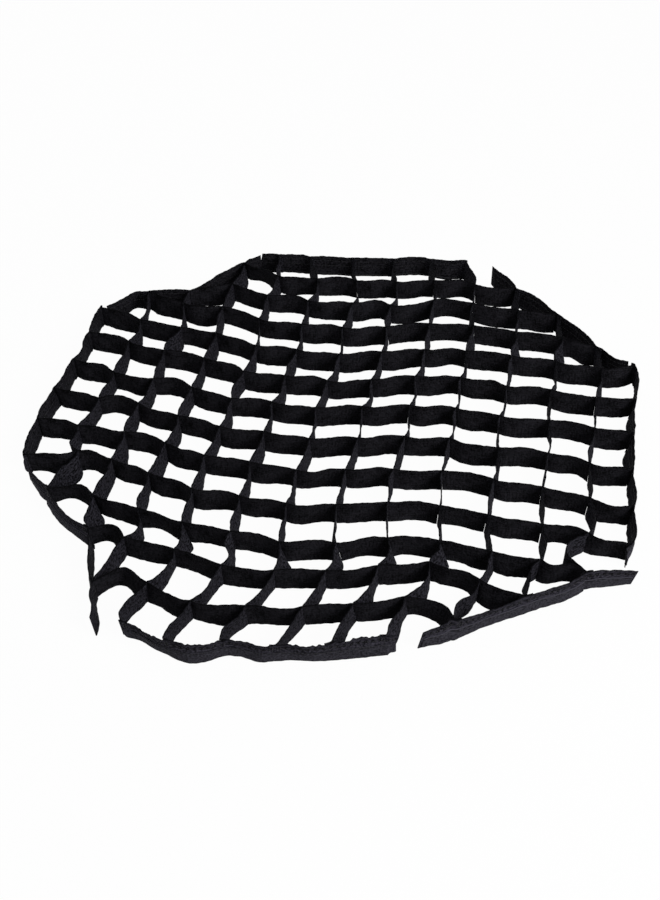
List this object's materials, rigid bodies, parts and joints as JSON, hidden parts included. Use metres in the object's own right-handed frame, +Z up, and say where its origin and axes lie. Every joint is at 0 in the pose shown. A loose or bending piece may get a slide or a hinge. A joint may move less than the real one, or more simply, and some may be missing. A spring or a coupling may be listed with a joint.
{
  "type": "softbox honeycomb grid",
  "caption": "Octagonal fabric egg-crate grid for a softbox: slotted strips on edge in a rim with hook tape and loose corner flaps, lying loosely.",
  "frame": {"origin": "middle of the grid's bounding box, on the surface that it lies on", "axes": "+Z up through the cells, +Y towards the far side, +X to the right seen from the near side"},
  "size_m": [0.961, 0.9756, 0.038],
  "materials": {
    "strip_fabric": "matte woven nylon",
    "band_fabric": "matte doubled woven nylon",
    "hook_tape": "smooth hook tape"
  },
  "bodies": {
    "root": {"cross_strip_01": "strip_fabric", "cross_strip_02": "strip_fabric", "cross_strip_03": "strip_fabric", "cross_strip_04": "strip_fabric", "cross_strip_05": "strip_fabric", "cross_strip_06": "strip_fabric", "cross_strip_07": "strip_fabric", "cross_strip_08": "strip_fabric", "cross_strip_09": "strip_fabric", "cross_strip_10": "strip_fabric", "cross_strip_11": "strip_fabric", "cross_strip_12": "strip_fabric", "edge_band_far": "band_fabric", "edge_band_far_left": "band_fabric", "edge_band_far_right": "band_fabric", "edge_band_left": "band_fabric", "edge_band_near": "band_fabric", "edge_band_near_left": "band_fabric", "edge_band_near_right": "band_fabric", "edge_band_right": "band_fabric", "hook_tape_far": "hook_tape", "hook_tape_far_left": "hook_tape", "hook_tape_far_right": "hook_tape", "hook_tape_left": "hook_tape", "hook_tape_near": "hook_tape", "hook_tape_near_left": "hook_tape", "hook_tape_near_right": "hook_tape", "hook_tape_right": "hook_tape", "long_strip_01": "strip_fabric", "long_strip_02": "strip_fabric", "long_strip_03": "strip_fabric", "long_strip_04": "strip_fabric", "long_strip_05": "strip_fabric", "long_strip_06": "strip_fabric", "long_strip_07": "strip_fabric", "long_strip_08": "strip_fabric", "long_strip_09": "strip_fabric", "long_strip_10": "strip_fabric", "long_strip_11": "strip_fabric", "long_strip_12": "strip_fabric"},
    "flap_01": {"corner_flap_01": "band_fabric", "flap_tape_01": "hook_tape"},
    "flap_02": {"corner_flap_02": "band_fabric", "flap_tape_02": "hook_tape"},
    "flap_04": {"corner_flap_04": "band_fabric", "flap_tape_04": "hook_tape"},
    "flap_05": {"corner_flap_05": "band_fabric", "flap_tape_05": "hook_tape"},
    "flap_07": {"corner_flap_07": "band_fabric", "flap_tape_07": "hook_tape"},
    "flap_08": {"corner_flap_08": "band_fabric", "flap_tape_08": "hook_tape"},
    "flap_10": {"corner_flap_10": "band_fabric", "flap_tape_10": "hook_tape"},
    "flap_11": {"corner_flap_11": "band_fabric", "flap_tape_11": "hook_tape"}
  },
  "joints": [
    {"name": "flap_01_fold", "type": "hinge", "parent": "root", "child": "flap_01", "pos_m": [0.25151, 0.4144, 0.019], "axis": [0, 0, -1], "range_deg": [-45, 90]},
    {"name": "flap_02_fold", "type": "hinge", "parent": "root", "child": "flap_02", "pos_m": [0.41736, 0.24344, 0.019], "axis": [0, 0, 1], "range_deg": [-40, 90]},
    {"name": "flap_04_fold", "type": "hinge", "parent": "root", "child": "flap_04", "pos_m": [0.42369, -0.26589, 0.019], "axis": [0, 0, -1], "range_deg": [-45, 90]},
    {"name": "flap_05_fold", "type": "hinge", "parent": "root", "child": "flap_05", "pos_m": [0.23161, -0.39451, 0.019], "axis": [0, 0, 1], "range_deg": [-45, 90]},
    {"name": "flap_07_fold", "type": "hinge", "parent": "root", "child": "flap_07", "pos_m": [-0.25474, -0.41631, 0.019], "axis": [0, 0, -1], "range_deg": [-45, 90]},
    {"name": "flap_08_fold", "type": "hinge", "parent": "root", "child": "flap_08", "pos_m": [-0.4002, -0.23378, 0.019], "axis": [0, 0, 1], "range_deg": [-45, 90]},
    {"name": "flap_10_fold", "type": "hinge", "parent": "root", "child": "flap_10", "pos_m": [-0.41701, 0.28649, 0.019], "axis": [0, 0, -1], "range_deg": [-45, 90]},
    {"name": "flap_11_fold", "type": "hinge", "parent": "root", "child": "flap_11", "pos_m": [-0.24806, 0.41821, 0.019], "axis": [0, 0, 1], "range_deg": [-45, 90]}
  ]
}
